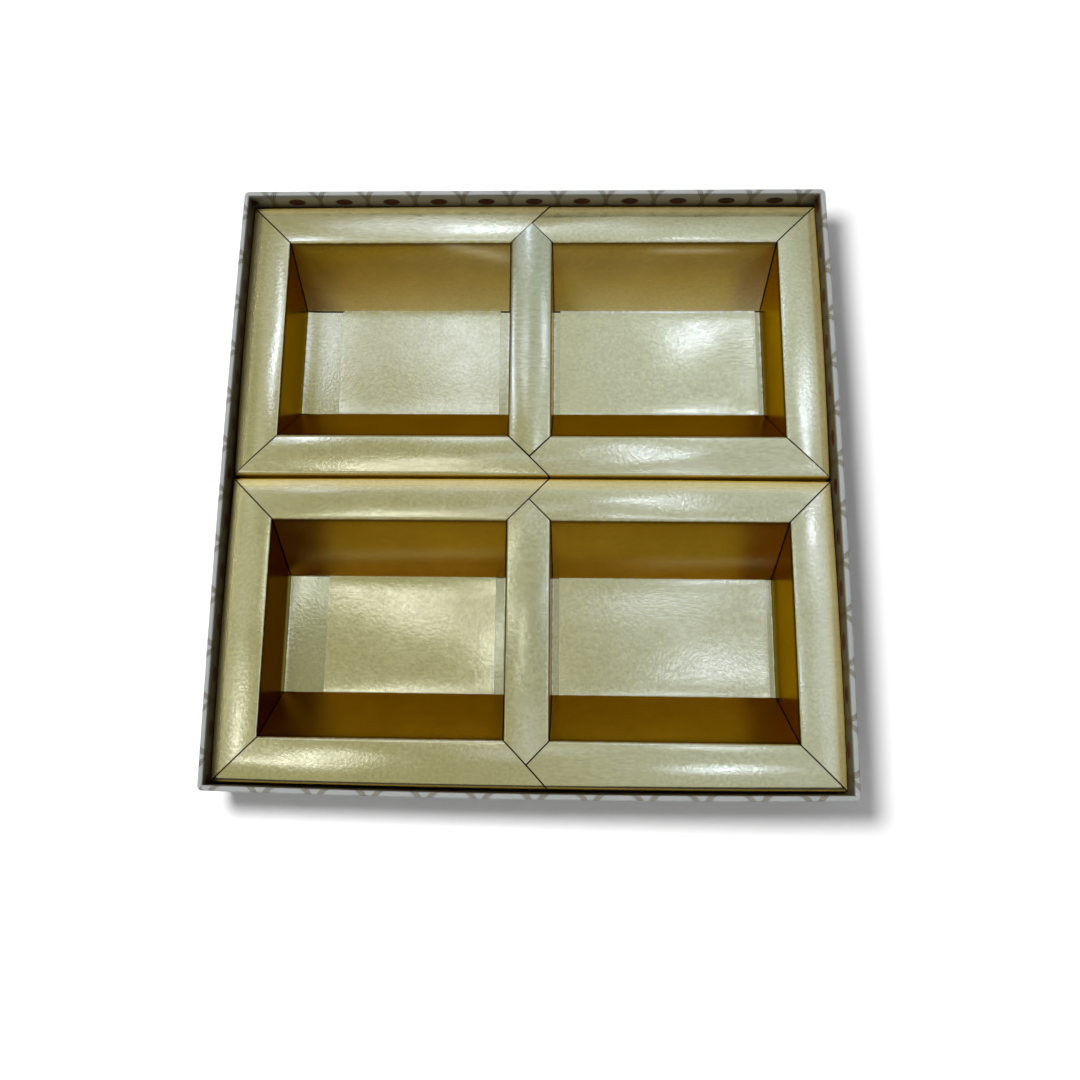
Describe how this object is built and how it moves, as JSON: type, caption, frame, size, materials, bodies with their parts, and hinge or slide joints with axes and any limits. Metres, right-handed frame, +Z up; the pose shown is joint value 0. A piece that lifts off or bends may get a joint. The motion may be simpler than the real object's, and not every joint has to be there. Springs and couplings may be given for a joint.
{
  "type": "gift box base with lift-out trays",
  "caption": "Square rigid paper-wrapped box, open at the top, holding folded gold board trays with sloping compartments that lift out.",
  "frame": {"origin": "middle of the footprint, on the underside of the box", "axes": "+X to the right, +Y from the front wall to the rear wall, +Z up out of the open top"},
  "size_m": [0.207, 0.2086, 0.032],
  "materials": {
    "greyboard": "matte",
    "printed_paper": "satin",
    "plain_paper": "matte",
    "stay_paper": "matte",
    "gold_board": "satin"
  },
  "bodies": {
    "box": {"base_paper": "plain_paper", "floor_board": "greyboard", "front_wall_board": "greyboard", "rear_wall_board": "greyboard", "left_wall_board": "greyboard", "right_wall_board": "greyboard", "corner_stays": "stay_paper", "side_wrap": "printed_paper", "floor_liner": "plain_paper"},
    "rear_tray": {"rear_tray_left_rim": "gold_board", "rear_tray_right_rim": "gold_board", "rear_tray_left_wall": "gold_board", "rear_tray_right_wall": "gold_board", "rear_tray_left_floor": "gold_board", "rear_tray_right_floor": "gold_board", "rear_tray_divider": "gold_board", "rear_tray_back_left_rim": "gold_board", "rear_tray_back_right_rim": "gold_board", "rear_tray_front_left_rim": "gold_board", "rear_tray_front_right_rim": "gold_board", "rear_tray_back_left_wall": "gold_board", "rear_tray_back_right_wall": "gold_board", "rear_tray_front_left_wall": "gold_board", "rear_tray_front_right_wall": "gold_board", "rear_tray_left_panel": "gold_board", "rear_tray_right_panel": "gold_board"},
    "front_tray": {"front_tray_left_rim": "gold_board", "front_tray_right_rim": "gold_board", "front_tray_left_wall": "gold_board", "front_tray_right_wall": "gold_board", "front_tray_left_floor": "gold_board", "front_tray_right_floor": "gold_board", "front_tray_divider": "gold_board", "front_tray_back_left_rim": "gold_board", "front_tray_back_right_rim": "gold_board", "front_tray_front_left_rim": "gold_board", "front_tray_front_right_rim": "gold_board", "front_tray_back_left_wall": "gold_board", "front_tray_back_right_wall": "gold_board", "front_tray_front_left_wall": "gold_board", "front_tray_front_right_wall": "gold_board", "front_tray_left_panel": "gold_board", "front_tray_right_panel": "gold_board"}
  },
  "joints": [
    {"name": "rear_tray_lift", "type": "slide", "parent": "box", "child": "rear_tray", "axis": [0, 0, 1], "range_m": [0, 0.06]},
    {"name": "front_tray_lift", "type": "slide", "parent": "box", "child": "front_tray", "axis": [0, 0, 1], "range_m": [0, 0.06]}
  ]
}
